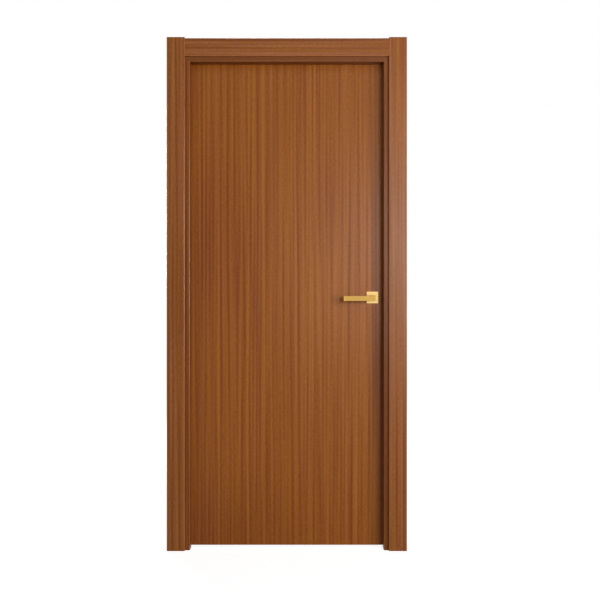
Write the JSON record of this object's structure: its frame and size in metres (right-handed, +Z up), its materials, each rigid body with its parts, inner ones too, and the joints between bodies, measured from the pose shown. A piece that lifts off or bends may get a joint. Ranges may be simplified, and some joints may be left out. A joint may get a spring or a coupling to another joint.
{
  "type": "laminate door",
  "caption": "Flush interior door with a vertical-grain laminate leaf, a rebated frame with flat casings on both faces, butt hinges and a square lever handle.",
  "frame": {"origin": "on the outer face of the hinge jamb, where it meets the wall, at floor level and in the middle of the frame's depth", "axes": "+X across the doorway from the hinge side to the lock side, +Y through the wall towards the side the leaf opens to, +Z up"},
  "size_m": [1.005, 0.158, 2.131],
  "materials": {
    "casing_laminate": "satin laminate",
    "frame_laminate": "satin laminate",
    "leaf_laminate": "satin laminate",
    "leaf_edge": "satin laminate",
    "raw_timber": "sawn",
    "core_board": "pressed board",
    "seal_rubber": "matt",
    "gold_metal": "satin",
    "lock_steel": "satin"
  },
  "bodies": {
    "frame": {"hinge_jamb": "frame_laminate", "lock_jamb": "frame_laminate", "head_jamb": "frame_laminate", "hinge_side_seal": "seal_rubber", "lock_side_seal": "seal_rubber", "head_seal": "seal_rubber", "front_casing_hinge_side": "casing_laminate", "front_casing_lock_side": "casing_laminate", "front_casing_head": "casing_laminate", "back_casing_hinge_side": "casing_laminate", "back_casing_lock_side": "casing_laminate", "back_casing_head": "casing_laminate", "strike_plate": "gold_metal", "bottom_hinge_jamb_half": "gold_metal", "middle_hinge_jamb_half": "gold_metal", "top_hinge_jamb_half": "gold_metal"},
    "leaf": {"leaf_front_board": "leaf_laminate", "leaf_back_board": "leaf_laminate", "leaf_hinge_stile": "raw_timber", "leaf_lock_stile": "raw_timber", "leaf_top_rail": "raw_timber", "leaf_bottom_rail": "raw_timber", "leaf_core": "core_board", "leaf_hinge_edge_band": "leaf_edge", "leaf_lock_edge_band": "leaf_edge", "lock_case": "gold_metal", "latch_bolt": "gold_metal", "front_rosette": "gold_metal", "back_rosette": "gold_metal", "bottom_hinge_leaf_half": "gold_metal", "middle_hinge_leaf_half": "gold_metal", "top_hinge_leaf_half": "gold_metal", "bottom_hinge_pin": "gold_metal", "middle_hinge_pin": "gold_metal", "top_hinge_pin": "gold_metal"},
    "handle": {"front_lever": "gold_metal", "back_lever": "gold_metal", "spindle": "lock_steel", "lock_follower": "lock_steel"}
  },
  "joints": [
    {"name": "leaf_swing", "type": "hinge", "parent": "frame", "child": "leaf", "pos_m": [0.0225, 0.051, 0], "axis": [0, 0, 1], "range_deg": [0, 165]},
    {"name": "lever_turn", "type": "hinge", "parent": "leaf", "child": "handle", "pos_m": [0.796, 0.0255, 1.049], "axis": [0, -1, 0], "range_deg": [0, 40], "stiffness_Nm_per_rad": 1.2, "springref_deg": -28.65}
  ]
}
